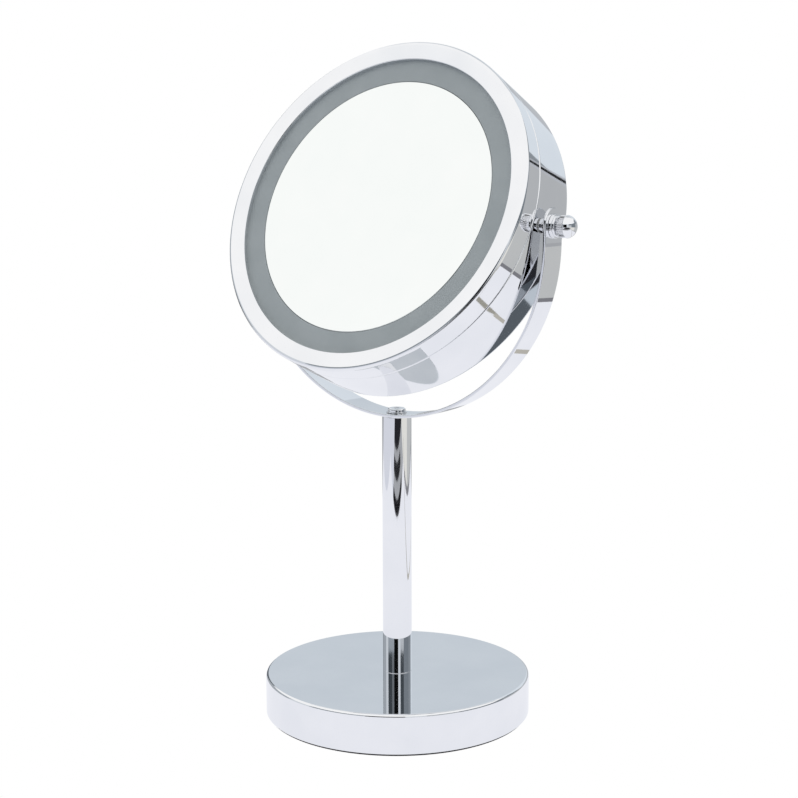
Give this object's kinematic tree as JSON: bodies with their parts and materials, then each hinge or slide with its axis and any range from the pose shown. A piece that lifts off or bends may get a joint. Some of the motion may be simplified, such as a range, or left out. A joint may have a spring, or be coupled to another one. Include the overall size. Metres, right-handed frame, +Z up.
{
  "type": "lighted pedestal shaving mirror",
  "caption": "Round lit mirror head that tilts in a U-shaped yoke on a slim column and weighted round base, with a magnifying mirror behind.",
  "frame": {"origin": "centre of the base's underside, on the surface that the mirror stands on", "axes": "+Z up along the column, X along the head's tilt axis, and the lit mirror faces -Y, tilted up by 25 degrees at rest"},
  "size_m": [0.1952, 0.13, 0.3254],
  "materials": {
    "chrome": "polished bright chrome plating on steel",
    "chromed_plastic": "polished bright chrome plating on moulded plastic",
    "mirror_glass": "silvered clear glass",
    "frosted_acrylic": "frosted translucent acrylic, light off",
    "cast_iron": "rough cast, lightly oiled",
    "zinc_steel": "zinc plated steel",
    "foot_foam": "dense black foam rubber",
    "foam_tape": "white adhesive foam",
    "white_plastic": "moulded white plastic",
    "black_plastic": "moulded black plastic",
    "cell_jacket": "plain printed battery jacket with no lettering",
    "nickel_spring": "nickel plated spring steel",
    "board": "white solder-resist circuit board",
    "led_lens": "white light-emitting diode with yellow phosphor",
    "brass": "turned brass",
    "nylon": "natural nylon"
  },
  "bodies": {
    "stand": {"base_cover": "chrome", "base_weight": "cast_iron", "base_bottom_plate": "zinc_steel", "base_foot_pad": "foot_foam", "base_screw_washer": "zinc_steel", "base_screw": "zinc_steel", "column_tube": "chrome", "column_lower_insert": "zinc_steel", "column_upper_insert": "zinc_steel", "yoke_strip": "chrome", "yoke_screw_washer": "chrome", "yoke_cap_screw": "chrome"},
    "head": {"rear_shell": "chromed_plastic", "rear_mirror_glass": "mirror_glass", "rear_mirror_clip_ring": "white_plastic", "battery_tray": "white_plastic", "tray_screws": "zinc_steel", "battery_cells": "cell_jacket", "battery_springs": "nickel_spring", "battery_plates": "nickel_spring", "light_tray": "white_plastic", "led_board": "board", "led_chips": "led_lens", "led_resistors": "black_plastic", "switch_body": "black_plastic", "left_pivot_insert": "brass", "left_pivot_spacer": "chrome", "left_friction_washer": "nylon", "right_pivot_insert": "brass", "right_pivot_spacer": "chrome", "right_friction_washer": "nylon"},
    "front_cover": {"front_bezel": "chromed_plastic", "front_mirror_glass": "mirror_glass", "light_diffuser": "frosted_acrylic", "mirror_foam_pad": "foam_tape", "mirror_back_plate": "white_plastic", "bayonet_retainer": "white_plastic"},
    "switch_button": {"switch_button": "chromed_plastic"},
    "left_knob": {"left_inner_knob_washer": "chrome", "left_outer_knob_washer": "chrome", "left_knob": "chrome", "left_knob_stud": "zinc_steel"},
    "right_knob": {"right_inner_knob_washer": "chrome", "right_outer_knob_washer": "chrome", "right_knob": "chrome", "right_knob_stud": "zinc_steel"}
  },
  "joints": [
    {"name": "head_tilt", "type": "hinge", "parent": "stand", "child": "head", "pos_m": [0, 0, 0.2415], "axis": [1, 0, 0], "continuous": true},
    {"name": "front_cover_twist", "type": "hinge", "parent": "head", "child": "front_cover", "pos_m": [0, 0, 0.2415], "axis": [0, -0.9063, 0.4226], "range_deg": [0, 30]},
    {"name": "switch_press", "type": "slide", "parent": "head", "child": "switch_button", "axis": [0, -0.4226, -0.9063], "range_m": [0, 0.0008], "stiffness_N_per_m": 1500, "springref_m": -0.0003},
    {"name": "left_knob_turn", "type": "hinge", "parent": "head", "child": "left_knob", "pos_m": [-0.0919, 0, 0.2415], "axis": [1, 0, 0], "range_deg": [0, 360]},
    {"name": "right_knob_turn", "type": "hinge", "parent": "head", "child": "right_knob", "pos_m": [0.0919, 0, 0.2415], "axis": [1, 0, 0], "range_deg": [-360, 0]}
  ]
}
